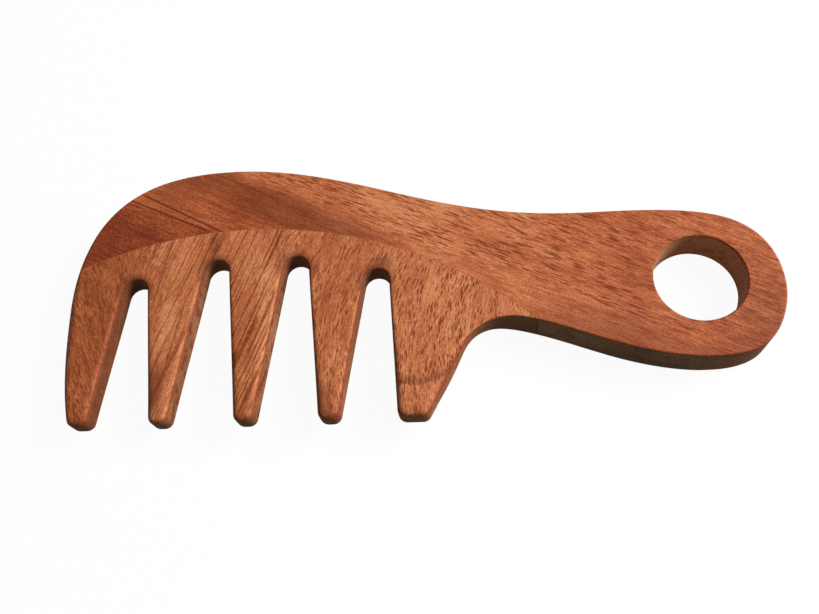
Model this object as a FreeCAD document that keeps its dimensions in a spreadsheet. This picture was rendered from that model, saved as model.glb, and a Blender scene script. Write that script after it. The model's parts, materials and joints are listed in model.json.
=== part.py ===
import FreeCAD, Part
import math
import os
import Sketcher

# Wooden rake comb, lying on its back face with its teeth towards -Y and its handle towards +X.
# Millimetres. The origin is under the middle of the comb's box, on the back face.
# The maker glues a tooth block with upright grain to a back and handle with long grain along
# a curved joint, saws the outline and the gaps, drills the eye, thins the head from the back and
# rounds the edges over.

SIZES = {
    "board_thickness": 12.0,
    "tooth_length": 48.8,
    "bridge_depth": 8.8,
    "back_depth": 20.1,
    "crown_inset": 46.1,
    "crown_to_cheek": 43.65,
    "crown_to_neck": 50.15,
    "crown_to_hole": 40.7,
    "first_tip_inset": 4.3,
    "first_tip_width": 5.7,
    "tip_width": 4.7,
    "last_tip_width": 8.0,
    "gap_pitch": 23.05,
    "gap_top_radius": 3.7,
    "gap_lean": 1.0,
    "last_tip_to_neck": 23.0,
    "neck_radius": 14.4,
    "handle_length": 74.9,
    "hole_diameter": 25.4,
    "hole_end_wall": 9.8,
    "hole_back_wall": 9.0,
    "hole_belly_wall": 10.25,
    "eye_end_drop": 2.7,
    "joint_radius": 120.0,
    "joint_top_inset": 52.5,
    "glue_thickness": 0.15,
    "tip_corner_radius": 2.4,
    "tooth_round": 3.0,
    "gap_top_round": 0.9,
    "edge_ease": 0.5,
    "head_relief": 4.0,
    "tip_to_relief": 6.0,
    "relief_length": 27.0,
    "cut_overrun": 2.0,
}

# The comb is sawn by hand, so the gaps differ. Each mouth stands its own share of pitches from
# the first and takes its share of a tip's width off the pitch. Each round top leans over by its
# own share of the lean, and leaves its share of the bridge's depth below the joint.
GAP_PLACE_SHARES = [0.0, 0.989, 2.003, 2.971]
GAP_LAND_SHARES = [1.319, 1.028, 1.15, 1.53]
GAP_LEAN_SHARES = [0.7, 1.3, 1.1, 1.9]
GAP_BRIDGE_SHARES = [1.076, 1.024, 0.966, 0.911]
GAP_COUNT = len(GAP_PLACE_SHARES)

# The outline runs clockwise from station to station. Each curve is a cubic spline whose inner
# poles are shares, along x and along y, of the box between the two stations it joins.
# The brow is in two parts, which meet on the line between its second and third pole.
BROW_SHARES = [(0.0, 0.177), (0.035, 0.34), (0.258, 0.887), (0.589, 1.0)]
BROW_MEETING_SHARE = 0.32
BACK_SHARES = [(0.196, 0.0), (0.556, 0.709), (0.823, 1.0)]
EYE_TOP_SHARES = [(0.218, 0.0), (0.868, -0.061), (1.0, 0.638)]
EYE_UNDER_SHARES = [(0.0, 0.224), (0.193, 1.014), (0.874, 1.0)]
BELLY_SHARES = [(0.084, 0.0), (0.398, 0.149), (0.863, 1.0)]
WAIST_SHARE = 0.409
OUTER_SHARES = [(0.7, 0.33), (1.0, 0.67)]
TIP_ROUND_SHARE = 0.85

# Places worked out from the sizes, as formulas in the same sheet.
PLACES = {
    "head_height": "tooth_length + bridge_depth + back_depth",
    "hole_radius": "hole_diameter / 2",
    "tip_round": f"tip_corner_radius * {TIP_ROUND_SHARE}",
}
for gap, land in enumerate(GAP_LAND_SHARES, start=1):
    PLACES[f"gap_{gap}_half"] = f"(gap_pitch - tip_width * {land}) / 2"
PLACES |= {
    "first_gap_inset": "first_tip_inset + first_tip_width + gap_1_half",
    "last_tip_inset": (f"first_gap_inset + {GAP_PLACE_SHARES[-1]} * gap_pitch"
                       f" + gap_{GAP_COUNT}_half + last_tip_width"),
    "overall_length": "last_tip_inset + last_tip_to_neck + handle_length",
    "cheek_x": "-overall_length / 2",
    "crown_x": "cheek_x + crown_inset",
    "crown_y": "head_height / 2",
    "cheek_y": "crown_y - crown_to_cheek",
    "tip_y": "crown_y - head_height",
    "first_tip_x": "cheek_x + first_tip_inset",
    "first_tip_y": "tip_y",
    "last_tip_x": "cheek_x + last_tip_inset",
    "last_tip_y": "tip_y",
    "neck_x": "last_tip_x + last_tip_to_neck",
    "neck_y": "crown_y - crown_to_neck",
    "neck_centre_x": "neck_x",
    "neck_centre_y": "neck_y - neck_radius",
    "hole_x": "neck_x + handle_length - hole_end_wall - hole_radius",
    "hole_y": "crown_y - crown_to_hole",
    "waist_x": f"neck_x + (hole_x - neck_x) * {WAIST_SHARE}",
    "waist_y": "hole_y + hole_radius + hole_back_wall",
    "eye_x": "neck_x + handle_length",
    "eye_y": "hole_y - eye_end_drop",
    "belly_x": "hole_x",
    "belly_y": "hole_y - hole_radius - hole_belly_wall",
    "joint_x": "cheek_x + joint_top_inset",
    "joint_y": "crown_y - back_depth - joint_radius",
    "overrun_y": "tip_y - cut_overrun",
    "relief_low_x": "last_tip_x + tip_to_relief",
    "relief_high_x": "relief_low_x + relief_length",
    "relief_middle_x": "relief_low_x + relief_length / 2",
    "relief_radius": "(relief_length ^ 2 + head_relief ^ 2) / (4 * head_relief)",
    "overrun_x": "cheek_x - cut_overrun",
}
for gap, shares in enumerate(zip(GAP_PLACE_SHARES, GAP_LEAN_SHARES, GAP_BRIDGE_SHARES), start=1):
    place, lean, bridge = shares
    PLACES |= {
        f"gap_{gap}_x": f"cheek_x + first_gap_inset + gap_pitch * {place}",
        f"gap_{gap}_left": f"gap_{gap}_x - gap_{gap}_half",
        f"gap_{gap}_right": f"gap_{gap}_x + gap_{gap}_half",
        f"gap_{gap}_top_x": f"gap_{gap}_x + gap_lean * {lean}",
        f"gap_{gap}_reach": f"joint_radius - bridge_depth * {bridge}",
        f"gap_{gap}_top_y": (f"joint_y + sqrt(gap_{gap}_reach ^ 2 - (gap_{gap}_top_x - joint_x) ^ 2)"
                             " - gap_top_radius"),
    }


def make_sheet():
    sheet = doc.addObject("Spreadsheet::Sheet", "Sizes")
    cells = {name: str(value) for name, value in SIZES.items()}
    cells |= {name: "=" + formula for name, formula in PLACES.items()}
    for row, (name, content) in enumerate(cells.items(), start=1):
        sheet.set(f"A{row}", name)
        sheet.set(f"B{row}", content)
        sheet.setAlias(f"B{row}", name)
    doc.recompute()
    return sheet


def size(name):
    return float(sheet.get(name))


def value_of(formula):
    return float(sheet.evalExpression(formula))


def vector_of(place):
    x_formula, y_formula = place
    return FreeCAD.Vector(value_of(x_formula), value_of(y_formula), 0)


def flat(point):
    return FreeCAD.Vector(point.x, point.y, 0)


def station(name):
    """A named place on the sheet, as a pair of formulas."""
    return (f"Sizes.{name}_x", f"Sizes.{name}_y")


def pole(start, end, shares):
    """A place at shares of the box between two stations."""
    return tuple(
        f"Sizes.{start}_{axis} + (Sizes.{end}_{axis} - Sizes.{start}_{axis}) * {share}"
        for axis, share in zip("xy", shares))


def meeting(start, end, shares, part_way):
    """The place where a curve in two parts meets: part of the way from pole two to pole three."""
    second, third = pole(start, end, shares[1]), pole(start, end, shares[2])
    return tuple(f"({low}) + (({high}) - ({low})) * {part_way}" for low, high in zip(second, third))


def curve(start, end, shares):
    return [[station(start)] + [pole(start, end, pair) for pair in shares] + [station(end)]]


def curve_in_two(start, end, shares, part_way):
    inner = [pole(start, end, pair) for pair in shares]
    middle = meeting(start, end, shares, part_way)
    return [[station(start)] + inner[:2] + [middle],
            [middle] + inner[2:] + [station(end)]]


def curves_to_neck():
    return (curve_in_two("cheek", "crown", BROW_SHARES, BROW_MEETING_SHARE)
            + curve("crown", "waist", BACK_SHARES)
            + curve("waist", "eye", EYE_TOP_SHARES)
            + curve("eye", "belly", EYE_UNDER_SHARES)
            + curve("belly", "neck", BELLY_SHARES))


def curves_from_last_tip():
    return curve("last_tip", "first_tip", []) + curve("first_tip", "cheek", OUTER_SHARES)


def new_sketch(body, name, role="XY_Plane"):
    sketch = body.newObject("Sketcher::SketchObject", name)
    plane = [item for item in body.Origin.OriginFeatures if item.Role == role][0]
    sketch.AttachmentSupport = [(plane, "")]
    sketch.MapMode = "FlatFace"
    return sketch


def dimension(sketch, formula, *what):
    """Add a dimension to a sketch and bind it to a formula on the sheet."""
    index = sketch.addConstraint(Sketcher.Constraint(*what, value_of(formula)))
    sketch.setExpression(f"Constraints[{index}]", formula)


def place_point(sketch, geometry, end, place):
    """Dimension one point of a sketch from the sketch's origin, along x and along y."""
    for kind, formula in zip(("DistanceX", "DistanceY"), place):
        dimension(sketch, formula, kind, -1, 1, geometry, end)


def join(sketch, kind, first, second, ends=(2, 1)):
    """Join the end of one line or curve to the start of another."""
    sketch.addConstraint(Sketcher.Constraint(kind, first, ends[0], second, ends[1]))


def touch_point(corner, centre, radius, turn):
    """Where a line from a corner touches a circle, on its left (1) or its right (-1) side."""
    reach = centre.sub(corner)
    swing = turn * math.asin(radius / reach.Length)
    angle = math.atan2(reach.y, reach.x) + swing
    length = math.sqrt(reach.Length ** 2 - radius ** 2)
    return corner + FreeCAD.Vector(math.cos(angle), math.sin(angle), 0) * length


def add_arc(sketch, centre, radius, start, end):
    """Add an arc that runs anticlockwise from one point to another."""
    angles = [math.atan2(point.y - centre.y, point.x - centre.x) for point in (start, end)]
    circle = Part.Circle(centre, FreeCAD.Vector(0, 0, 1), radius)
    return sketch.addGeometry(Part.ArcOfCircle(circle, *angles))


def draw_curve(sketch, poles):
    """A line or a spline of the outline. The next one places its far end."""
    points = [vector_of(place) for place in poles]
    if len(poles) == 2:
        line = sketch.addGeometry(Part.LineSegment(*points))
        place_point(sketch, line, 1, poles[0])
        return line
    spline = sketch.addGeometry(Part.BSplineCurve(points, None, None, False, 3, None, False))
    sketch.exposeInternalGeometry(spline)
    for number, place in enumerate(poles[:-1], start=1):
        place_point(sketch, spline + number, 3, place)
    return spline


def flank_touch():
    """Where the neck's round stretch becomes the straight outer flank of the last tooth."""
    return touch_point(vector_of(station("last_tip")), vector_of(station("neck_centre")),
                       size("neck_radius"), 1)


def draw_neck(sketch):
    """The round stretch under the neck, and the straight flank tangent to it."""
    neck, touch = vector_of(station("neck")), flank_touch()
    centre = vector_of(station("neck_centre"))
    arc = add_arc(sketch, centre, size("neck_radius"), neck, touch)
    place_point(sketch, arc, 3, station("neck_centre"))
    dimension(sketch, "Sizes.neck_x", "DistanceX", -1, 1, arc, 1)
    dimension(sketch, "Sizes.neck_radius", "Radius", arc)
    flank = sketch.addGeometry(Part.LineSegment(touch, vector_of(station("last_tip"))))
    join(sketch, "Tangent", arc, flank)
    return arc, flank


def draw_outline(sketch):
    to_neck = [draw_curve(sketch, poles) for poles in curves_to_neck()]
    neck, flank = draw_neck(sketch)
    from_tip = [draw_curve(sketch, poles) for poles in curves_from_last_tip()]
    for chain in (to_neck + [neck], [flank] + from_tip + to_neck[:1]):
        for before, after in zip(chain, chain[1:]):
            join(sketch, "Coincident", before, after)


def draw_gap(sketch, gap):
    """A tapered gap: a round top, two straight flanks tangent to it, and an open lower end."""
    centre = vector_of(station(f"gap_{gap}_top"))
    radius = size("gap_top_radius")
    corners = [(f"Sizes.gap_{gap}_{side}", f"Sizes.{height}")
               for side, height in [("left", "tip_y"), ("left", "overrun_y"),
                                    ("right", "overrun_y"), ("right", "tip_y")]]
    points = [vector_of(place) for place in corners]
    left_touch = touch_point(points[0], centre, radius, 1)
    right_touch = touch_point(points[-1], centre, radius, -1)
    top = add_arc(sketch, centre, radius, right_touch, left_touch)
    place_point(sketch, top, 3, station(f"gap_{gap}_top"))
    dimension(sketch, "Sizes.gap_top_radius", "Radius", top)
    path = [left_touch] + points + [right_touch]
    lines = [sketch.addGeometry(Part.LineSegment(first, second))
             for first, second in zip(path, path[1:])]
    for line, place in zip(lines[1:], corners):
        place_point(sketch, line, 1, place)
    for before, after in zip(lines, lines[1:]):
        join(sketch, "Coincident", before, after)
    join(sketch, "Tangent", top, lines[0])
    join(sketch, "Tangent", lines[-1], top)


def draw_hole(sketch):
    circle = Part.Circle(vector_of(station("hole")), FreeCAD.Vector(0, 0, 1), size("hole_radius"))
    hole = sketch.addGeometry(circle)
    place_point(sketch, hole, 3, station("hole"))
    dimension(sketch, "Sizes.hole_radius", "Radius", hole)


def draw_relief(sketch):
    """What is planed off the head's back, seen from the side: flat, then an S up to the handle."""
    depth, radius = size("head_relief"), size("relief_radius")
    low, middle, high = [size(f"relief_{name}_x") for name in ("low", "middle", "high")]
    meeting_point = FreeCAD.Vector(middle, depth / 2, 0)
    hollow = add_arc(sketch, FreeCAD.Vector(low, depth - radius, 0), radius,
                     meeting_point, FreeCAD.Vector(low, depth, 0))
    place_point(sketch, hollow, 3, ("Sizes.relief_low_x", "Sizes.head_relief - Sizes.relief_radius"))
    dimension(sketch, "Sizes.relief_radius", "Radius", hollow)
    dimension(sketch, "Sizes.relief_middle_x", "DistanceX", -1, 1, hollow, 1)
    dimension(sketch, "Sizes.relief_low_x", "DistanceX", -1, 1, hollow, 2)
    swell = add_arc(sketch, FreeCAD.Vector(high, radius, 0), radius,
                    meeting_point, FreeCAD.Vector(high, 0, 0))
    place_point(sketch, swell, 3, ("Sizes.relief_high_x", "Sizes.relief_radius"))
    join(sketch, "Coincident", hollow, swell, ends=(1, 1))
    corners = [("Sizes.relief_low_x", "Sizes.head_relief"), ("Sizes.overrun_x", "Sizes.head_relief"),
               ("Sizes.overrun_x", "-Sizes.cut_overrun"),
               ("Sizes.relief_high_x", "-Sizes.cut_overrun")]
    points = [vector_of(place) for place in corners] + [FreeCAD.Vector(high, 0, 0)]
    lines = [sketch.addGeometry(Part.LineSegment(first, second))
             for first, second in zip(points, points[1:])]
    for line, place in zip(lines[1:], corners[1:]):
        place_point(sketch, line, 1, place)
    join(sketch, "Coincident", hollow, lines[0])
    for before, after in zip(lines, lines[1:]):
        join(sketch, "Coincident", before, after)
    join(sketch, "Coincident", lines[-1], swell, ends=(2, 2))
    sketch.addConstraint(Sketcher.Constraint("Vertical", lines[-1]))


def cut_through(body, name, sketch, side="One side"):
    """Cut a sketch right through the comb and print what that takes away."""
    before = body.Shape.Volume
    pocket = body.newObject("PartDesign::Pocket", name)
    pocket.Profile = sketch
    pocket.Type = "ThroughAll"
    pocket.Reversed = True
    pocket.SideType = side
    doc.recompute()
    print(name, "takes away", round(before - body.Shape.Volume, 1), "mm3")


def at_tips(point):
    return point.y < size("tip_y") + 2 * size("tip_corner_radius")


def make_sawn_comb():
    """The comb as sawn, with square edges and only the corners of its tips rounded."""
    body = doc.addObject("PartDesign::Body", "sawn_comb")
    outline = new_sketch(body, "outline")
    draw_outline(outline)
    board = body.newObject("PartDesign::Pad", "board")
    board.Profile = outline
    board.setExpression("Length", "Sizes.board_thickness")
    doc.recompute()
    gaps = new_sketch(body, "gaps")
    for gap in range(1, GAP_COUNT + 1):
        draw_gap(gaps, gap)
    cut_through(body, "gap_cuts", gaps)
    eye = new_sketch(body, "eye")
    draw_hole(eye)
    cut_through(body, "eye_cut", eye)
    relief = new_sketch(body, "relief", "XZ_Plane")
    draw_relief(relief)
    cut_through(body, "relief_cut", relief, "Symmetric")
    drilled = body.Tip
    corners = []
    for number, edge in enumerate(drilled.Shape.Edges, start=1):
        first, last = edge.Vertexes[0].Point, edge.Vertexes[-1].Point
        if at_tips(first) and abs(last.z - first.z) > size("board_thickness") / 2:
            corners.append(f"Edge{number}")
    print(len(corners), "tip corners")
    tips = body.newObject("PartDesign::Fillet", "tip_corners")
    tips.Base = (drilled, corners)
    tips.setExpression("Radius", "Sizes.tip_corner_radius")
    doc.recompute()
    return body


def edge_radius(point):
    """How far the edge is rounded over at the end of a stretch of the outline."""
    if at_tips(point):
        return size("tip_round")
    reach = size("gap_top_radius") + size("edge_ease")
    tops = [vector_of(station(f"gap_{gap}_top")) for gap in range(1, GAP_COUNT + 1)]
    if any(flat(point).distanceToPoint(top) < reach for top in tops):
        return size("gap_top_round")
    ends = [vector_of(station("cheek")), flank_touch()]
    on_side = any(flat(point).distanceToPoint(end) < size("edge_ease") for end in ends)
    return size("tooth_round") if on_side else size("edge_ease")


def is_skin(face):
    """Whether a face belongs to the comb's front or back and not to its walls."""
    first_u, last_u, first_v, last_v = face.ParameterRange
    return abs(face.normalAt((first_u + last_u) / 2, (first_v + last_v) / 2).z) > 0.5


def touching(first, second):
    return first.distanceToPoint(second) < 1e-4


def rim_loops(shape):
    """The edges between skin and walls, loop by loop: each edge's number, start and end."""
    skin = [edge for face in shape.Faces if is_skin(face) for edge in face.Edges]
    rows = []
    for edge in skin:
        if sum(edge.isSame(other) for other in skin) == 1:
            number = [edge.isSame(other) for other in shape.Edges].index(True) + 1
            rows.append((number, *(edge.valueAt(place) for place in edge.ParameterRange)))
    loops = []
    while rows:
        loop = [rows.pop(0)]
        while True:
            place = loop[-1][2]
            nexts = [row for row in rows if touching(row[1], place) or touching(row[2], place)]
            if not nexts:
                break
            rows.remove(nexts[0])
            number, start, end = nexts[0]
            loop.append((number, start, end) if touching(start, place) else (number, end, start))
        loops.append(loop)
    return loops


def make_rounded_comb(sawn):
    """The edges of front and back rounded over: well at the teeth, only eased at the handle."""
    loops = rim_loops(sawn.Shape)
    print("loops of", [len(loop) for loop in loops], "edges")
    comb = doc.addObject("Part::Fillet", "rounded_comb")
    comb.Base = sawn
    comb.Edges = [(number, edge_radius(start), edge_radius(end))
                  for loop in loops for number, start, end in loop]
    doc.recompute()
    return comb


def joint_cylinder(name, offset):
    """A round cutter concentric with the joint, larger or smaller by a formula."""
    cutter = doc.addObject("Part::Cylinder", name)
    cutter.setExpression("Radius", f"Sizes.joint_radius {offset}")
    cutter.setExpression("Height", "Sizes.board_thickness + 2 * Sizes.cut_overrun")
    cutter.setExpression("Placement.Base.x", "Sizes.joint_x")
    cutter.setExpression("Placement.Base.y", "Sizes.joint_y")
    cutter.setExpression("Placement.Base.z", "-Sizes.cut_overrun")
    return cutter


def boolean(kind, label, base, tool):
    result = doc.addObject(kind, label)
    result.Base = base
    result.Tool = tool
    result.Label = label
    return result


def make_pieces(comb):
    """Part the comb along the joint: the tooth block, the film of glue and the back."""
    block_side = joint_cylinder("block_side", "- Sizes.glue_thickness / 2")
    back_side = joint_cylinder("back_side", "+ Sizes.glue_thickness / 2")
    glue_ring = boolean("Part::Cut", "glue_ring", back_side, block_side)
    pieces = [boolean("Part::Cut", "handle_back", comb, back_side),
              boolean("Part::Common", "tooth_block", comb, block_side),
              boolean("Part::Common", "glue_line", comb, glue_ring)]
    doc.recompute()
    return pieces


doc = FreeCAD.newDocument("comb")
sheet = make_sheet()
sawn_comb = make_sawn_comb()
rounded_comb = make_rounded_comb(sawn_comb)
pieces = make_pieces(rounded_comb)

for item in doc.Objects:
    if "Invalid" in item.State or "Error" in item.State:
        raise RuntimeError(item.Label + " failed: " + str(item.State))
for piece in pieces:
    if piece.Shape.isNull() or not piece.Shape.isValid():
        raise RuntimeError(piece.Label + " has no valid shape")
    print(piece.Label, len(piece.Shape.Solids), "solid", round(piece.Shape.Volume, 1), "mm3")

os.makedirs("parts", exist_ok=True)
for piece in pieces:
    piece.Shape.exportStep("parts/" + piece.Label + ".step")
print("comb", size("overall_length"), "x", size("head_height"), "x", size("board_thickness"), "mm")
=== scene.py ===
# %% [markdown]
# # A wooden rake comb
#
# This file dresses a comb that was built in CAD: a curved back with a handle, a block of five
# teeth, and the film of glue that holds the two together. The shapes come from CAD and stay as
# they are. What Blender adds is the wood itself, the light and the camera.
#
# The CAD model is loaded first. Everything in it is in metres, with the comb lying flat: x runs
# along the handle, y up from the tips of the teeth to the crown, and z through the thickness of
# the board. Wood is easier to think of in millimetres, so the numbers below are in millimetres
# and turned with MM where Blender wants metres.

# %% Load the comb
import json
import math

import bpy
from mathutils import Matrix, Vector


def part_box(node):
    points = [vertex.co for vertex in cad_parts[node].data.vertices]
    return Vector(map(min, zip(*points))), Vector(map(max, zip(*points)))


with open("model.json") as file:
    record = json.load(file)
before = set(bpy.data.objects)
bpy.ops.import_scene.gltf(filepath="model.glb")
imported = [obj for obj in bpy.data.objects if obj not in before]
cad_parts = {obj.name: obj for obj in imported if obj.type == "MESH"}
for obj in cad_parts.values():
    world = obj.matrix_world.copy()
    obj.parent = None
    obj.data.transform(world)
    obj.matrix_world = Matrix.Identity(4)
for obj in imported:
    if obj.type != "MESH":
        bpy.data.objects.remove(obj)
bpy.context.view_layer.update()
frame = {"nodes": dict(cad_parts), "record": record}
nodes = frame["nodes"]
MM = 0.001
print("CAD nodes:", ", ".join(sorted(nodes)))

# %% [markdown]
# ## The camera
#
# The photograph was taken by hand, from in front of the teeth and above, with the comb lying on a
# white sheet. A camera could be moved by eye until the outlines agree. Here its place was worked
# out from the two rims of the round eye, front and back, which show as two ellipses, and that also
# gives how strongly the lens shortens the far side. A camera can be turned with angles, but three
# arrows are easier to check: where its right side, its top and its back point to.

# %% Place the camera
PHOTO_WIDTH = 819
FOCAL_PIXELS = 900.0
CAMERA_PLACE = Vector((15.428, -104.96, 240.99)) * MM
CAMERA_RIGHT = Vector((0.99686, -0.00618, -0.07891))
CAMERA_UP = Vector((0.03646, 0.92073, 0.38850))
CAMERA_BACK = Vector((0.07025, -0.39015, 0.91807))
NEAREST_SEEN = 10 * MM

camera_data = bpy.data.cameras.new("photo_camera")
camera_data.lens = camera_data.sensor_width * FOCAL_PIXELS / PHOTO_WIDTH
camera_data.clip_start = NEAREST_SEEN
camera = bpy.data.objects.new("photo_camera", camera_data)
bpy.context.collection.objects.link(camera)
turn = Matrix((CAMERA_RIGHT, CAMERA_UP, CAMERA_BACK)).transposed()
camera.matrix_world = Matrix.LocRotScale(CAMERA_PLACE, turn.to_quaternion(), None)
bpy.context.scene.camera = camera
print("camera: lens %.2f mm, %.0f mm above the table" % (camera_data.lens, CAMERA_PLACE.z / MM))

# %% [markdown]
# ## Colours
#
# Colours are easiest to pick as the hex values of a paint program. Those are stored for a screen,
# while Blender reckons with the amount of light itself, so one function turns the one into the
# other.

# %% Turn a colour
def colour(hex_value):
    """Turn an sRGB hex value such as "#B96944" into linear red, green, blue and alpha.

    The numbers are those of the sRGB standard: a straight line for the darkest shades and a
    curve for the others.
    """
    linear = []
    for place in (1, 3, 5):
        value = int(hex_value[place:place + 2], 16) / 255
        if value <= 0.04045:
            linear.append(value / 12.92)
        else:
            linear.append(((value + 0.055) / 1.055) ** 2.4)
    return (*linear, 1.0)


print("the handle's brown as light:", [round(value, 3) for value in colour("#B96944")[:3]])

# %% [markdown]
# ## Nodes
#
# A material is a set of nodes with links between them, which Blender's shader editor shows as
# boxes and noodles. One small function adds any node, sets it up and links it in one line. What it
# gives back is the output that the next node needs, so a recipe reads from top to bottom.

# %% Add a node
def add(tree, kind, inputs=None, out=0, **settings):
    """Add a node with its settings and links, and give back one of its outputs.

    An input is a number, a colour or the output of another node. With out=None the node itself
    comes back.
    """
    node = tree.nodes.new("ShaderNode" + kind)
    for name, value in settings.items():
        setattr(node, name, value)
    for name, value in (inputs or {}).items():
        if isinstance(value, bpy.types.NodeSocket):
            tree.links.new(value, node.inputs[name])
        else:
            node.inputs[name].default_value = value
    return node if out is None else node.outputs[out]


kinds = [kind for kind in dir(bpy.types) if kind.startswith("ShaderNode")]
print("kinds of node to choose from:", len(kinds))

# %% [markdown]
# ## The sheet of paper
#
# The comb lies on plain white paper, which fills the whole photograph. A large square does, a hair
# below the wood, so that the two don't flicker through each other.

# %% Lay the paper
PAPER_GAP = 0.05 * MM
PAPER_SIDE = 6.0    # metres

bpy.ops.object.select_all(action="DESELECT")
bpy.ops.mesh.primitive_plane_add(size=PAPER_SIDE, location=(0, 0, -PAPER_GAP))
paper = bpy.context.active_object
bpy.ops.object.transform_apply(location=True, rotation=True, scale=True)
paper.name = "paper"
print("paper: %.0f m wide, %.2f mm under the comb" % (PAPER_SIDE, PAPER_GAP / MM))

# %% [markdown]
# Paper is pressed wood pulp: white and quite matt, so it needs no gloss. In the photograph it is so
# bright that it has no grain at all. More light would do that too, but it would bleach the wood.
# So the paper has two answers. To the camera, also in a mirror image, it is nearly white by itself
# and takes up only a little light, just enough to show the comb's soft shadow. The light that it
# throws back at the comb comes from an ordinary grey, because bright paper would light the
# underside of every edge. The Light Path node tells the two apart: it says what kind of ray asks.

# %% The paper's surface
WHITE = "#FFFFFF"
PAPER_BOUNCE = "#8C8A86"
PAPER_SHADOW = "#3E3E3E"
PAPER_GLOW = 0.95


def start_material(name):
    """Start an empty material, and give it back with its tree of nodes."""
    material = bpy.data.materials.new(name)
    material.use_nodes = True
    material.node_tree.nodes.clear()
    return material, material.node_tree


# Drawing paper: wood pulp pressed smooth, which looks matt and even.
paper_material, tree = start_material("matt_white_paper")
looked_at = add(tree, "LightPath", out="Is Camera Ray")
for mirror_image in ("Is Glossy Ray", "Is Transmission Ray"):
    seen = add(tree, "LightPath", out=mirror_image)
    looked_at = add(tree, "Math", {0: looked_at, 1: seen}, operation="MAXIMUM")
bounce = add(tree, "BsdfDiffuse", {"Color": colour(PAPER_BOUNCE)})
shadow = add(tree, "BsdfDiffuse", {"Color": colour(PAPER_SHADOW)})
glow = add(tree, "Emission", {"Color": colour(WHITE), "Strength": PAPER_GLOW})
sheet = add(tree, "AddShader", {0: shadow, 1: glow})
surface = add(tree, "MixShader", {0: looked_at, 1: bounce, 2: sheet})
add(tree, "OutputMaterial", {"Surface": surface}, out=None)
paper.data.materials.append(paper_material)
print("paper: %d nodes, glows at %.2f of white" % (len(tree.nodes), PAPER_GLOW))

# %% [markdown]
# ## The light
#
# The right sides of the teeth are bright in the photograph and their shadows are soft, so the light
# came from the upper right, through a window or off a wall. A large round lamp does the same: the
# larger it is, the softer its shadows are. Its power is set so that a colour on a flat face comes
# out about as it is written.

# %% Set the lamp
LAMP_FROM = Vector((1.1, 0.3, 0.88)).normalized()
LAMP_DISTANCE = 1.6    # metres
LAMP_WIDTH = 0.8
LAMP_WATTS = 36.9

lamp_data = bpy.data.lights.new("soft_lamp", "AREA")
lamp_data.shape = "DISK"
lamp_data.size = LAMP_WIDTH
lamp_data.energy = LAMP_WATTS
lamp = bpy.data.objects.new("soft_lamp", lamp_data)
bpy.context.collection.objects.link(lamp)
lamp.location = LAMP_FROM * LAMP_DISTANCE
lamp.rotation_euler = LAMP_FROM.to_track_quat("Z", "Y").to_euler()
print("lamp: %.1f W, %.1f m away, %.1f m up" % (LAMP_WATTS, LAMP_DISTANCE, lamp.location.z))

# %% [markdown]
# The room itself gives a weak even light, which fills the shadows inside the gaps and the eye.
# Where the camera looks past the paper, that same room is plain white.

# %% Light the room
ROOM_LIGHT = 0.18

world = bpy.data.worlds.new("plain_room")
bpy.context.scene.world = world
world.use_nodes = True
world.node_tree.nodes.clear()
tree = world.node_tree
seen = add(tree, "LightPath", out="Is Camera Ray")
strength = add(tree, "MapRange", {"Value": seen, "To Min": ROOM_LIGHT, "To Max": 1.0})
background = add(tree, "Background", {"Color": colour(WHITE), "Strength": strength})
add(tree, "OutputWorld", {"Surface": background}, out=None)
bpy.context.scene.view_settings.view_transform = "Standard"
print("room: %.2f of white" % ROOM_LIGHT)

# %% [markdown]
# ## Oiled mahogany
#
# Both boards are a red mahogany, sawn out, sanded smooth and rubbed with oil. The oil leaves a
# satin surface and brings out three things. The fibres give fine streaks of lighter and darker
# brown. The vessels, which the saw has cut open, are short dark dashes along the fibres. Where the
# fibres run into an edge, the wood drinks more oil and turns dark.
#
# A picture of wood could be wrapped on, but it would stretch over the rounded edges. Here the
# patterns fill the solid, as they do in a real board, and every cut shows them from its own side.
# So a recipe for wood starts from the place inside the comb.

# %% Start the back and find the place in it
def place_in_comb(tree):
    """Give x along the handle, y up and z through the board, in millimetres."""
    place = add(tree, "TexCoord", out="Object")
    place = add(tree, "VectorMath", {0: place, "Scale": 1 / MM}, operation="SCALE")
    split = add(tree, "SeparateXYZ", {0: place}, out=None)
    return split.outputs["X"], split.outputs["Y"], split.outputs["Z"]


# Mahogany, sanded along the fibres and rubbed with oil: a warm red-brown with a satin sheen.
back_material, tree = start_material("oiled_mahogany_back")
x, y, z = place_in_comb(tree)
for name in ("handle_back", "tooth_block"):
    low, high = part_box(name)
    print(name, "measures, mm:", [round((b - a) / MM, 1) for a, b in zip(low, high)])

# %% [markdown]
# ## The back and handle
#
# This board is one piece from the cheek on the left to the eye on the right. A comb maker lays the
# fibres along the handle, because across it the neck would soon break. On this comb they don't run
# quite along it: they fall by 25 degrees towards the eye, as the streaks in the photograph show.
# Turning the place by that much gives the grain, which is the place counted along the fibres,
# across them and through the board. Everything in this board is drawn on the grain.

# %% The back's grain
BACK_FALL = 0.47    # millimetres down for each millimetre to the right
BACK_WAY = Vector((1.0, -BACK_FALL, 0.0)).normalized()

along = add(tree, "Math", {0: y, 1: -BACK_FALL, 2: x}, operation="MULTIPLY_ADD")
across = add(tree, "Math", {0: x, 1: BACK_FALL, 2: y}, operation="MULTIPLY_ADD")
back_grain = add(tree, "CombineXYZ", {"X": along, "Y": across, "Z": z})
print("the back's fibres fall by %.0f degrees" % math.degrees(math.atan(BACK_FALL)))

# %% [markdown]
# The head's lower half is dark, nearly the colour of old brick, and a clear line parts it from the
# orange-brown above. That is old and young wood in one board, so it follows the fibres. The line
# isn't ruled straight: it wobbles by up to 2 mm. Noise gives that, but Blender's noise has blots
# that are as long as they are wide, while those in wood are long. So the grain is first divided by
# the length, width and depth of a blot.

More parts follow.
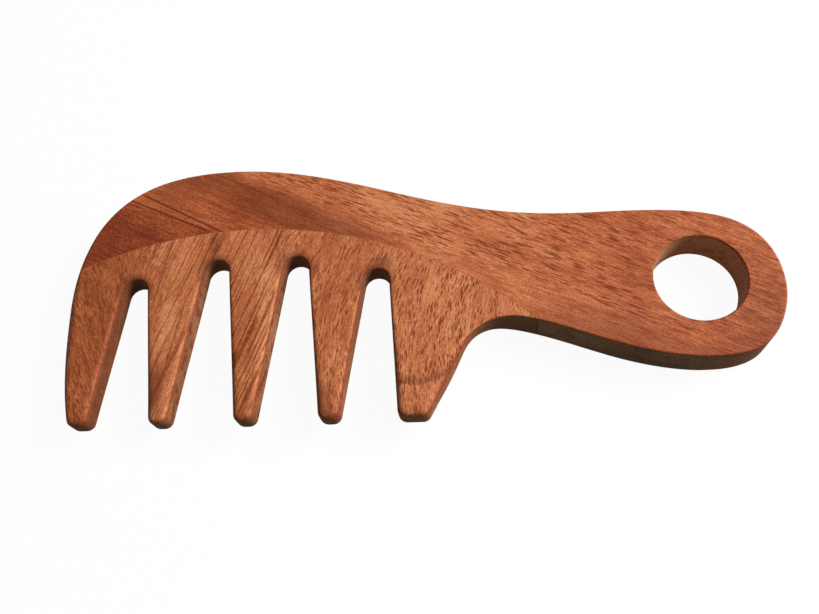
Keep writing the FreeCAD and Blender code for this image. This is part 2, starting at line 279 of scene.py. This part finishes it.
# %% The line of the dark band
WOBBLE_SIZE = (25.0, 9.0, 20.0)
WOBBLE = 2.0


def mottle(tree, grain, size, detail=2.0, roughness=0.5):
    """Noise from 0 to 1, in blots of some millimetres along, across and through the board."""
    counted = add(tree, "VectorMath", {0: grain, 1: [1 / length for length in size]},
                  operation="MULTIPLY")
    return add(tree, "TexNoise", {"Vector": counted, "Scale": 1.0, "Detail": detail,
                                  "Roughness": roughness}, out="Fac")


wobble = mottle(tree, back_grain, WOBBLE_SIZE)
wobble = add(tree, "MapRange", {"Value": wobble, "To Min": -WOBBLE, "To Max": WOBBLE})
band = add(tree, "Math", {0: across, 1: wobble}, operation="ADD")
print("the line wobbles by %.0f mm in blots of %.0f mm" % (WOBBLE, WOBBLE_SIZE[0]))

# %% [markdown]
# The tone says how dark the wood is at a point, from 0 for the darkest to 1 for the palest. Only
# at the end does it become a colour, so that one list of browns serves the whole board. It changes
# from one side of the board to the other, and a ramp fits that: a list of shades with the places
# where they stand, blended in between. The steep step in this one is the line of the dark band.

# %% The back's tone
BAND_TONES = (
    # millimetres across the fibres, and the tone there
    (-40, 0.16), (-14, 0.2), (-10.5, 0.15), (-9.5, 0.54), (10, 0.56), (14, 0.72), (24, 0.78),
    (60, 0.78),
)


def shade_along(tree, value, stops):
    """Colours, or greys from 0 to 1, that stand at the given points of a value."""
    low, high = stops[0][0], stops[-1][0]
    share = add(tree, "MapRange", {"Value": value, "From Min": low, "From Max": high})
    ramp = add(tree, "ValToRGB", {"Fac": share}, out=None)
    elements = ramp.color_ramp.elements
    while len(elements) < len(stops):
        elements.new(0.5)    # each gets its real place below
    for element, (point, shade) in zip(elements, stops):
        element.position = (point - low) / (high - low)
        element.color = colour(shade) if isinstance(shade, str) else (shade, shade, shade, 1.0)
    return ramp.outputs["Color"]


tone = shade_along(tree, band, BAND_TONES)
tones = [shade for _, shade in BAND_TONES]
print("the back's tone goes from %.2f to %.2f" % (min(tones), max(tones)))

# %% [markdown]
# A real board also has places of its own that no noise would find. Each could be painted, but this
# file does without pictures. A patch is made of bands instead: one along x and one along y make a
# soft rectangle, and one along a slanted coordinate makes a line. Two bands on the same coordinate
# leave what they share. So each patch is one row of a table, which is easy to read and to move: how
# strong it is, and then each coordinate with the band's middle, half its width, and the width of
# its soft edge.
#
# The handle is from the paler part of the board and gets a little darker towards its end. The cheek
# and the shoulder are a little paler than what is round them.

# %% Paler and darker places of the back
HANDLE_TONE = {"handle": (0.76, ("x", 60.0, 60.0, 12.0))}
BACK_PLACES = {
    "towards the end": (-0.18, ("x", 124.0, 60.0, 42.0)),
    "cheek": (0.16, ("x", -78.0, 11.0, 6.0), ("band", -13.0, 2.0, 5.0)),
    "shoulder": (0.14, ("x", -8.0, 14.0, 12.0), ("y", 22.0, 4.0, 6.0)),
}


def patch(tree, strength, bands):
    """A patch of the given strength that fades out along each coordinate that has a band."""
    for coordinate, middle, half_width, soft_edge in bands:
        away = add(tree, "Math", {0: coordinate, 1: middle}, operation="SUBTRACT")
        away = add(tree, "Math", {0: away}, operation="ABSOLUTE")
        inside = add(tree, "MapRange", {"Value": away, "From Min": half_width + soft_edge,
                                        "From Max": half_width}, interpolation_type="SMOOTHSTEP")
        strength = add(tree, "Math", {0: strength, 1: inside}, operation="MULTIPLY")
    return strength


def lay_patches(tree, value, operation, coordinates, table):
    """Add a table's patches to a value, or keep whichever is higher."""
    for strength, *bands in table.values():
        bands = [(coordinates[name], *numbers) for name, *numbers in bands]
        value = add(tree, "Math", {0: value, 1: patch(tree, strength, bands)},
                    operation=operation)
    return value


coordinates = {"x": x, "y": y, "across": across, "band": band}
tone = lay_patches(tree, tone, "MAXIMUM", coordinates, HANDLE_TONE)
tone = lay_patches(tree, tone, "ADD", coordinates, BACK_PLACES)
print("paler and darker places of the back:", ", ".join(BACK_PLACES))

# %% [markdown]
# Marks are darker than any wood. Two thin lines cross the cheek, where gum has filled a crack in
# the growing tree. A wide dusky streak lies over the middle of the head. The handle has two short
# streaks above the eye, and it is drawn darker at the crown, at the end and on the rim below the
# eye.
# They are patches too, and where two overlap, the darker one counts. What goes round the eye needs
# the distance from its middle. That place could be typed in, but the CAD model's record has it, as
# the mount for a hook, and a value that is read stays true when the model changes.

# %% The back's marks
LOWER_GUM_TURN = 0.075    # the lower line falls a little more than the fibres
BACK_MARKS = {
    "dusky streak": (0.5, ("band", 5.9, 2.2, 6.5), ("x", 0.0, 50.0, 14.0),
                     ("x", -68.0, 50.0, 12.0)),
    "upper gum line": (0.85, ("across", -9.9, 0.15, 0.35), ("x", -74.0, 11.0, 4.0)),
    "lower gum line": (0.85, ("across lower gum", -12.7, 0.15, 0.35), ("x", -69.0, 11.0, 4.0)),
    "upper streak": (0.4, ("across", 36.6, 0.6, 1.4), ("x", 94.0, 3.0, 2.5)),
    "lower streak": (0.4, ("across", 28.6, 0.6, 1.4), ("x", 92.0, 4.0, 2.5)),
    "crown": (0.42, ("x", -65.0, 9.0, 6.0), ("y", 44.5, 10.0, 7.0)),
    "end": (0.2, ("x", 93.0, 4.0, 5.0), ("y", -11.0, 3.0, 5.0)),
    "rim below the eye": (0.3, ("from eye", 40.0, 17.5, 5.5), ("y", -24.0, 10.0, 8.0)),
}

mounts = {mount["name"]: mount for mount in frame["record"]["mounts"]}
eye_x, eye_y, _ = [value / MM for value in mounts["hang_hole"]["pos_m"]]
flat_place = add(tree, "CombineXYZ", {"X": x, "Y": y})
from_eye = add(tree, "VectorMath", {0: flat_place, 1: (eye_x, eye_y, 0.0)}, out="Value",
               operation="DISTANCE")
coordinates["from eye"] = from_eye
coordinates["across lower gum"] = add(tree, "Math", {0: x, 1: LOWER_GUM_TURN, 2: across},
                                      operation="MULTIPLY_ADD")
marks = lay_patches(tree, 0.0, "MAXIMUM", coordinates, BACK_MARKS)
print("middle of the eye, mm: %.2f, %.2f" % (eye_x, eye_y))
print("marks of the back:", ", ".join(BACK_MARKS))

# %% [markdown]
# Now the figure of the wood, which is the same kind in both boards. Three layers of noise are added
# to the tone: the fibres, the soft clouds of a board that grew unevenly, and the grit that the
# sandpaper leaves. Then come the growth lines, which are long, thin and dark, with clear wood
# between them, so they are the peaks of a stretched noise. Real fibres are a few hundredths of a
# millimetre wide, and so are sanding scratches. They would not show in the picture, so both are
# drawn some ten times as coarse.

# %% Fibres, clouds, grit and growth lines
TONE_LAYERS = {
    # millimetres along, across and through, detail, roughness, and how far the tone swings
    "fibres": ((5.0, 0.42, 0.42), 3.0, 0.6, 0.19),
    "clouds": ((16.0, 4.0, 8.0), 3.0, 0.5, 0.17),
    "grit": ((0.7, 0.36, 0.36), 1.0, 0.5, 0.22),
}
NOISE_LOW, NOISE_HIGH = 0.25, 0.75    # noise seldom goes further out
LINE_SIZE = (50.0, 0.9, 3.0)
LINE_EDGE, LINE_CORE = 0.54, 0.62    # how high its noise stands at a line's edge and core
LINE_DEPTH = -0.45
BACK_LINES = 0.3


def add_figure(tree, grain, tone, line_share):
    """Add the layers and the growth lines to a plain tone. Give back the tone and the fibres."""
    layers = {}
    for name, (size, detail, roughness, swing) in TONE_LAYERS.items():
        noise = mottle(tree, grain, size, detail, roughness)
        layers[name] = add(tree, "MapRange", {"Value": noise, "From Min": NOISE_LOW,
                                              "From Max": NOISE_HIGH, "To Min": -swing,
                                              "To Max": swing})
        tone = add(tree, "Math", {0: tone, 1: layers[name]}, operation="ADD")
    lines = mottle(tree, grain, LINE_SIZE, detail=1.0)
    lines = add(tree, "MapRange", {"Value": lines, "From Min": LINE_EDGE, "From Max": LINE_CORE},
                interpolation_type="SMOOTHSTEP")
    lines = add(tree, "Math", {0: lines, 1: line_share}, operation="MULTIPLY")
    tone = add(tree, "Math", {0: lines, 1: LINE_DEPTH, 2: tone}, operation="MULTIPLY_ADD")
    return tone, layers["fibres"]


tone, fibres = add_figure(tree, back_grain, tone, BACK_LINES)
print("together the layers swing the tone by %.2f" % sum(row[-1] for row in TONE_LAYERS.values()))

# %% [markdown]
# Mahogany has open vessels, which a carpenter calls pores: tubes about 0.2 mm wide, cut open
# lengthwise into dashes of 2 to 5 mm. Voronoi cells scatter them well, because each cell holds just
# one dash, and none touch. The dashes come in drifts, so noise takes some out again. Their dark
# core is drawn 0.25 mm wide with a soft edge round it, coarser than the real ones, which would be
# lost between the pixels.
#
# In this board the dashes are long. There are few in the dense dark wood, many in the pale wood,
# and fewer again around the eye.

# %% The back's pores
PORE_EDGE, PORE_CORE = 0.56, 0.224    # how far from its middle, as a share of a cell
DRIFT_SIZE = (9.0, 2.5, 2.5)
DRIFT_EDGE, DRIFT_CORE = 0.28, 0.58
BACK_PORE_CELL = (5.0, 0.56, 0.56)
FEWEST_BACK_PORES = 0.15
BACK_PORES = {
    "pale wood": (0.85, ("band", 67.0, 50.0, 8.0)),
    "around the eye": (-0.25, ("x", 130.0, 50.0, 30.0)),
}


def scatter_pores(tree, grain, cell, share):
    """Dark dashes of the given share, one to a cell of some millimetres in each direction."""
    counted = add(tree, "VectorMath", {0: grain, 1: [1 / length for length in cell]},
                  operation="MULTIPLY")
    away = add(tree, "TexVoronoi", {"Vector": counted, "Scale": 1.0, "Randomness": 1.0},
               out="Distance")
    pores = add(tree, "MapRange", {"Value": away, "From Min": PORE_EDGE, "From Max": PORE_CORE},
                interpolation_type="SMOOTHSTEP")
    drifts = mottle(tree, grain, DRIFT_SIZE, detail=3.0)
    drifts = add(tree, "MapRange", {"Value": drifts, "From Min": DRIFT_EDGE,
                                    "From Max": DRIFT_CORE}, interpolation_type="SMOOTHSTEP")
    for thinning in (drifts, share):
        pores = add(tree, "Math", {0: pores, 1: thinning}, operation="MULTIPLY")
    return pores


pore_share = lay_patches(tree, FEWEST_BACK_PORES, "ADD", coordinates, BACK_PORES)
pores = scatter_pores(tree, back_grain, BACK_PORE_CELL, pore_share)
print("a pore's dark core is %.2f mm wide" % (2 * PORE_CORE * BACK_PORE_CELL[1]))

# %% [markdown]
# The same board looks different where it is cut. The eased edge between face and wall is painted a
# darker red-brown, which is painted shade where the edge rounds away from the face. On the walls
# the sawn fibres stand open and soak up oil, so they are a deeper brown, and most of all where the
# fibres end. Their dull olive browns are painted shade as well. Masks could be drawn by hand, but
# the direction in which a surface faces tells these places apart just as well.

# %% Tell faces, edges and walls apart
# How flat a surface lies: 1 for the front and the back of the comb, 0 for an upright wall.
EASED_START, EASED_FULL, EASED_SHARE = 0.86, 0.56, 0.85
WALL_START, WALL_FULL = 0.45, 0.12
# How squarely the fibres meet it: 1 where they end in it, 0 where they run along it.
END_START, END_FULL, END_SHARE = 0.3, 0.9, 0.7


def edges_and_walls(tree, fibre_way):
    """Three shares from 0 to 1: the eased edge, the wall, and the end grain on the wall."""
    facing = add(tree, "TexCoord", out="Normal")
    flat = add(tree, "SeparateXYZ", {0: facing}, out="Z")
    flat = add(tree, "Math", {0: flat}, operation="ABSOLUTE")
    square = add(tree, "VectorMath", {0: facing, 1: fibre_way}, out="Value",
                 operation="DOT_PRODUCT")
    square = add(tree, "Math", {0: square}, operation="ABSOLUTE")
    shares = []
    for value, start, full, most in ((flat, EASED_START, EASED_FULL, EASED_SHARE),
                                     (flat, WALL_START, WALL_FULL, 1.0),
                                     (square, END_START, END_FULL, END_SHARE)):
        shares.append(add(tree, "MapRange", {"Value": value, "From Min": start, "From Max": full,
                                             "To Max": most}, interpolation_type="SMOOTHSTEP"))
    return shares


edges = edges_and_walls(tree, BACK_WAY)
for name, start in (("an eased edge", EASED_START), ("a wall", WALL_START)):
    print("%s starts %.0f degrees from flat" % (name, math.degrees(math.acos(start))))

# %% [markdown]
# The colour is laid on coat over coat, in this order: the wood's own brown for its tone, then its
# marks, the painted shade of the eased edge, the walls with their darker browns of oil and painted
# shade, and last the pores, which are cut open everywhere. The wall of the eye was drilled, not
# sawn. The hot edge of a drill leaves wood that hardly takes oil, so that wall is paler than the
# others.

# %% The back's colour
MARK_BROWN = "#5A2211"
# Painted shade: the eased edges are drawn a darker red-brown, where they round away from the light.
EASED_EDGE_SHADE_BROWN = "#7E3A1A"
PORE_BROWN = "#762E10"
BARE_WOOD = "#D09C76"
# How much the walls' browns, partly oiled wood and partly painted shade, cover the face's.
WALL_SHADE_COVER = 0.88
COLOUR_OUT = 2    # a Mix node has an output for numbers, one for vectors, and then one for colours
BACK_BROWNS = {
    "face": ((0.0, "#6E2C16"), (0.25, "#883B1F"), (0.5, "#A9562D"), (0.75, "#C06C43"),
             (1.0, "#D48C5C")),
    # The walls are darker and more olive than the faces: oil in the sawn fibres, and painted shade.
    # The end grain's redder brown is partly painted light, for the lit end of the handle.
    "wall": ((0.1, "#3E2C1B"), (0.7, "#8C6D4C"), (1.1, "#B0906E")),
    "end grain": "#8A4C30",
}
BARE_STRENGTH = 0.85
BARE_RING = (0.0, 13.4, 1.0)    # middle, half width and soft edge of a band around the eye


def lay_coats(tree, below, coats):
    """Lay coats over a colour. Each one is its share, from 0 to 1, and its colour."""
    for share, coat in coats:
        below = add(tree, "Mix", {"Factor": share, "A": below, "B": coat}, out=COLOUR_OUT,
                    data_type="RGBA")
    return below


def colour_wood(tree, browns, tone, marks, pores, edges, bare=0.0):
    """Give a tone its browns on the faces, and with painted shade on the edges and the walls."""
    eased_shade, wall, end_grain_and_shade = edges
    wall_shade_share = add(tree, "Math", {0: wall, 1: WALL_SHADE_COVER}, operation="MULTIPLY")
    side = lay_coats(tree, shade_along(tree, tone, browns["wall"]), (
        (end_grain_and_shade, colour(browns["end grain"])), (bare, colour(BARE_WOOD))))
    return lay_coats(tree, shade_along(tree, tone, browns["face"]), (
        (marks, colour(MARK_BROWN)), (eased_shade, colour(EASED_EDGE_SHADE_BROWN)), (wall_shade_share, side),
        (pores, colour(PORE_BROWN))))


bare = patch(tree, BARE_STRENGTH, [(from_eye, *BARE_RING)])
wood = colour_wood(tree, BACK_BROWNS, tone, marks, pores, edges, bare)
print("browns of the back:", ", ".join(shade for _, shade in BACK_BROWNS["face"]))

# %% [markdown]
# The finish is linseed or nut oil, rubbed in with a cloth. It soaks in and hardens in the wood and
# leaves no film, so the face has a satin sheen: its index of refraction is that of an oil, its
# roughness is high and its gloss low. In the pores and on the walls the oil sinks away and the
# surface is rougher still. Pores are open grooves, but so shallow that bump is enough for them.

# %% Oil the back
OIL_IOR = 1.45
FACE_ROUGH, OPEN_ROUGH = 0.6, 0.8
FACE_GLOSS, WALL_GLOSS = 0.24, 0.14
BUMP_DEPTH = 0.08 * MM
BUMP_STRENGTH = 0.3


def oil(tree, wood, fibres, pores, edges):
    """Give coloured wood its sheen and its open pores, and finish the material."""
    _, wall, _ = edges
    opened = add(tree, "Math", {0: pores, 1: wall}, operation="MAXIMUM")
    rough = add(tree, "MapRange", {"Value": opened, "To Min": FACE_ROUGH, "To Max": OPEN_ROUGH})
    gloss = add(tree, "MapRange", {"Value": wall, "To Min": FACE_GLOSS, "To Max": WALL_GLOSS})
    height = add(tree, "Math", {0: fibres, 1: pores}, operation="SUBTRACT")
    bump = add(tree, "Bump", {"Height": height, "Strength": BUMP_STRENGTH, "Distance": BUMP_DEPTH})
    surface = add(tree, "BsdfPrincipled", {"Base Color": wood, "Roughness": rough, "IOR": OIL_IOR,
                                           "Specular IOR Level": gloss, "Normal": bump})
    add(tree, "OutputMaterial", {"Surface": surface}, out=None)


oil(tree, wood, fibres, pores, edges)
nodes["handle_back"].material_slots[0].material = back_material
print("back and handle: %d nodes in the material" % len(tree.nodes))

# %% [markdown]
# ## The block of teeth
#
# A tooth cut across the fibres would snap, so a comb maker glues in a second block, whose fibres
# run along the teeth. In this one they lean over by some 20 degrees, less so towards the tips of
# the last two teeth, and in the outermost tooth they lean the other way, because the tree grew
# round a knot there. One turn can't give that. Here a point is moved sideways by its height times a
# lean, and the lean changes along x.

# %% The teeth's grain
UPRIGHT_AT = 8.4    # the height at which the shift is nothing
OUTER_LEAN, INNER_LEAN = -0.42, 0.38
OUTER_X, INNER_X = -92.0, -72.0
BEND = 0.0051
BEND_START_X, BEND_FULL_X = -38.0, -30.0

# Mahogany again, sanded round each tooth and oiled: satin, with the grain running up and down.
teeth_material, tree = start_material("oiled_mahogany_teeth")
x, y, z = place_in_comb(tree)
lean = add(tree, "MapRange", {"Value": x, "From Min": OUTER_X, "From Max": INNER_X,
                              "To Min": OUTER_LEAN, "To Max": INNER_LEAN},
           interpolation_type="SMOOTHSTEP")
bend = add(tree, "MapRange", {"Value": x, "From Min": BEND_START_X, "From Max": BEND_FULL_X,
                              "To Max": BEND}, interpolation_type="SMOOTHSTEP")
height = add(tree, "Math", {0: y, 1: UPRIGHT_AT}, operation="SUBTRACT")
lean = add(tree, "Math", {0: bend, 1: height, 2: lean}, operation="MULTIPLY_ADD")
shift = add(tree, "Math", {0: lean, 1: height}, operation="MULTIPLY")
across = add(tree, "Math", {0: x, 1: shift}, operation="SUBTRACT")
teeth_grain = add(tree, "CombineXYZ", {"X": y, "Y": across, "Z": z})
for name, slope in (("outermost tooth", OUTER_LEAN), ("inner teeth", INNER_LEAN)):
    print("%s: fibres lean by %.0f degrees" % (name, math.degrees(math.atan(slope))))

# %% [markdown]
# The five teeth are not one colour. The outermost is a dull brown, the second and third are the
# palest, and the fourth is darker again. Shades along x give that, with a few patches for what one
# tooth has alone, such as the third, whose lower part is darker, with a painted highlight along its
# right side.

# %% The teeth's tone
TEETH_TONES = (
    # x in millimetres, and the tone there
    (-100, 0.42), (-86, 0.48), (-77, 0.72), (-56, 0.78), (-40, 0.76), (-26, 0.64), (-14, 0.68),
    (-6, 0.76), (10, 0.76),
)
TEETH_PLACES = {
    "third, lower part": (-0.17, ("x", -48.0, 3.0, 5.0), ("y", -26.0, 20.0, 14.0)),
    # A painted highlight: a paler stripe along the third tooth's right edge, where the light falls
    # on its rounding.
    "highlight on the third's right side": (0.2, ("x", -42.6, 1.2, 2.6), ("y", -14.0, 18.0, 6.0)),
    "second, middle": (0.1, ("x", -69.0, 2.0, 3.0), ("y", -10.0, 4.0, 6.0)),
    "fourth, lower part": (0.15, ("x", -21.0, 3.0, 3.0), ("y", -27.0, 5.0, 5.0)),
}

coordinates = {"x": x, "y": y}
tone = shade_along(tree, x, TEETH_TONES)
tone = lay_patches(tree, tone, "ADD", coordinates, TEETH_PLACES)
print("paler and darker places of the teeth: %s" % "; ".join(TEETH_PLACES))

# %% [markdown]
# The tops of the gaps were bored or sawn round and then smoothed with sandpaper on a rod. A dark
# rim of painted shade goes round each of the four tops, where the edge falls away into the gap. A
# distance is a coordinate like any other, and a band on it is a ring. The record keeps a box for
# the hair in each top, which fits inside the round with its two upper corners. So the middle of the
# round lies half the box's width below the box's upper edge.

# %% Painted shade around the gaps
# The rims are painted shade, a dark ring around each gap top.
RIM_SHADE_STRENGTH = 0.6
RIM_SHADE_RING = (0.0, 3.9, 2.7)

openings = frame["record"]["physics"]["openings"]
top_boxes = [opening["box_m"] for opening in openings if opening["name"].endswith("_top")]
flat_place = add(tree, "CombineXYZ", {"X": x, "Y": y})
marks = 0.0
for (left, _, _), (right, upper, _) in top_boxes:
    half_width = (right - left) / 2
    top_x, top_y = (left + half_width) / MM, (upper - half_width) / MM
    from_top = add(tree, "VectorMath", {0: flat_place, 1: (top_x, top_y, 0.0)}, out="Value",
                   operation="DISTANCE")
    rim = patch(tree, RIM_SHADE_STRENGTH, [(from_top, *RIM_SHADE_RING)])
    marks = add(tree, "Math", {0: marks, 1: rim}, operation="MAXIMUM")
    print("dark rim around, mm: %.2f, %.2f" % (top_x, top_y))

# %% [markdown]
# The last tooth, next to the handle, has a growth ring across it: an arc, sharp below, fading out
# above, and ragged where it crosses the fibres. A parabola is near enough to a piece of a ring. So
# the height over a parabola, made ragged with noise, is one more coordinate, and the ring is what
# two bands on it share: one with a sharp lower edge, and one with a soft upper edge.

# %% The height over the growth ring
RING_MIDDLE_X = -0.5
RING_CURVE = -0.045
RAGGED_SIZE = (0.8, 2.0, 2.0)
RAGGED = 2.4

aside = add(tree, "Math", {0: x, 1: RING_MIDDLE_X}, operation="SUBTRACT")
squared = add(tree, "Math", {0: aside, 1: 2.0}, operation="POWER")
over_ring = add(tree, "Math", {0: squared, 1: RING_CURVE, 2: y}, operation="MULTIPLY_ADD")
place = add(tree, "CombineXYZ", {"X": x, "Y": y, "Z": z})
ragged = mottle(tree, place, RAGGED_SIZE)
over_ring = add(tree, "Math", {0: ragged, 1: RAGGED, 2: over_ring}, operation="MULTIPLY_ADD")
coordinates["over ring"] = over_ring
print("the ring's arc has a radius of %.0f mm" % abs(1 / (2 * RING_CURVE)))

# %% [markdown]
# The other marks of the teeth are small: oil that has gathered in the end grain of the tips, a dark
# spot above the second gap, two fine veins in the second tooth and a few smudges. As on the back,
# each is one row.

# %% The teeth's marks
VEIN_LEAN = -0.2
TEETH_MARKS = {
    "growth ring": (0.5, ("over ring", -24.8, 4.0, 0.6), ("over ring", -33.6, 5.0, 3.0),
                    ("x", 2.0, 7.0, 2.0)),
    "tips": (0.3, ("y", -48.6, 10.0, 2.4)),
    "spot above the second gap": (0.55, ("x", -59.0, 0.6, 1.6), ("y", 14.4, 1.8, 2.5)),
    "smudge above the last gap": (0.55, ("x", -10.2, 1.2, 3.0), ("y", 6.0, 1.2, 2.4)),
    "smudge low on the second": (0.6, ("x", -72.0, 0.8, 2.0), ("y", -30.0, 3.0, 7.0)),
    "smudge low on the fourth": (0.5, ("x", -25.5, 0.8, 2.8), ("y", -34.5, 2.5, 4.5)),
    "left vein": (0.5, ("across veins", -74.6, 0.12, 0.35), ("y", 5.4, 9.0, 4.0)),
    "right vein": (0.5, ("across veins", -65.3, 0.12, 0.35), ("y", -16.0, 10.0, 4.0)),
}

coordinates["across veins"] = add(tree, "Math", {0: y, 1: VEIN_LEAN, 2: x},
                                  operation="MULTIPLY_ADD")
marks = lay_patches(tree, marks, "MAXIMUM", coordinates, TEETH_MARKS)
print("marks of the teeth:", ", ".join(TEETH_MARKS))

# %% [markdown]
# The figure comes from the same recipes as the back's, because both boards are oiled mahogany. Only
# the amounts differ. The second and third tooth have the strongest growth lines and few pores, the
# others have many pores. These are shorter than the back's, because this block was sawn at a
# slant to its vessels.

# %% The teeth's figure and pores
TEETH_WAY = (0.25, 0.968, 0.0)    # the fibres' mean direction
TEETH_LINES = ((-84, 0.0), (-76, 0.6), (-60, 0.8), (-52, 1.0), (-40, 1.0), (-32, 0.0))
TEETH_PORES = ((-100, 1.0), (-80, 0.9), (-70, 0.4), (-46, 0.45), (-32, 0.85), (-10, 0.9),
               (10, 1.0))
TEETH_PORE_CELL = (2.6, 0.52, 0.52)

line_share = shade_along(tree, x, TEETH_LINES)
tone, fibres = add_figure(tree, teeth_grain, tone, line_share)
pore_share = shade_along(tree, x, TEETH_PORES)
pores = scatter_pores(tree, teeth_grain, TEETH_PORE_CELL, pore_share)
edges = edges_and_walls(tree, TEETH_WAY)
shorter = TEETH_PORE_CELL[0] / BACK_PORE_CELL[0]
print("the teeth's pores are %.1f times as long as the back's" % shorter)

# %% [markdown]
# The block is a shade more orange than the back, so it gets its own list of browns. Its surface is
# the same satin one, sanded and oiled, and the same two recipes make it.

# %% Colour and oil the teeth
TEETH_BROWNS = {
    "face": ((0.0, "#662A16"), (0.25, "#8A4622"), (0.5, "#A85A33"), (0.75, "#C07146"),
             (1.0, "#D89060")),
    # The walls and the end grain at the gap tops and neck are darker and olive: oil in the fibres,
    # and painted shade.
    "wall": ((0.1, "#44240F"), (0.7, "#8C563A"), (1.1, "#B47E5A")),
    "end grain": "#6C5C40",
}

wood = colour_wood(tree, TEETH_BROWNS, tone, marks, pores, edges)
oil(tree, wood, fibres, pores, edges)
nodes["tooth_block"].material_slots[0].material = teeth_material
print("block of teeth: %d nodes in the material" % len(tree.nodes))

# %% [markdown]
# ## The glue line
#
# The two boards meet in an arc. Wood glue is white when wet and dries to a clear, hard, pale yellow
# film, which the oil and the dust of sanding turn brown. Only its thin edge shows, so it needs no
# pattern but a slow change of brown, sanded as smooth as the wood beside it. On the walls it is as
# dull and dark as they are, partly by painted shade like theirs.

# %% The glue
# The glue's wall brown is partly painted shade, as dark as the walls beside it.
GLUE_BROWN, PALE_GLUE_BROWN, GLUE_WALL_SHADE_BROWN = "#9C5530", "#B06A45", "#6A523A"
GLUE_CLOUDS = (3.0, 3.0, 3.0)
GLUE_WALL_START = 0.6

# Wood glue, dried hard and sanded off: a thin even line, a little darker than the wood.
glue_material, tree = start_material("dried_wood_glue")
x, y, z = place_in_comb(tree)
place = add(tree, "CombineXYZ", {"X": x, "Y": y, "Z": z})
clouds = mottle(tree, place, GLUE_CLOUDS)
facing = add(tree, "TexCoord", out="Normal")
flat = add(tree, "SeparateXYZ", {0: facing}, out="Z")
flat = add(tree, "Math", {0: flat}, operation="ABSOLUTE")
wall = add(tree, "MapRange", {"Value": flat, "From Min": GLUE_WALL_START, "From Max": WALL_FULL},
           interpolation_type="SMOOTHSTEP")
film = lay_coats(tree, colour(GLUE_BROWN), (
    (clouds, colour(PALE_GLUE_BROWN)), (wall, colour(GLUE_WALL_SHADE_BROWN))))
gloss = add(tree, "MapRange", {"Value": wall, "To Min": FACE_GLOSS, "To Max": 0.0})
surface = add(tree, "BsdfPrincipled", {"Base Color": film, "Roughness": FACE_ROUGH,
                                       "IOR": OIL_IOR, "Specular IOR Level": gloss})
add(tree, "OutputMaterial", {"Surface": surface}, out=None)
nodes["glue_line"].material_slots[0].material = glue_material
print("glue: %d nodes in the material" % len(tree.nodes))

# %% [markdown]
# ## Sizes
#
# Nothing was added to the comb and nothing moved, so the box round everything has to be the one
# that was measured at the start.
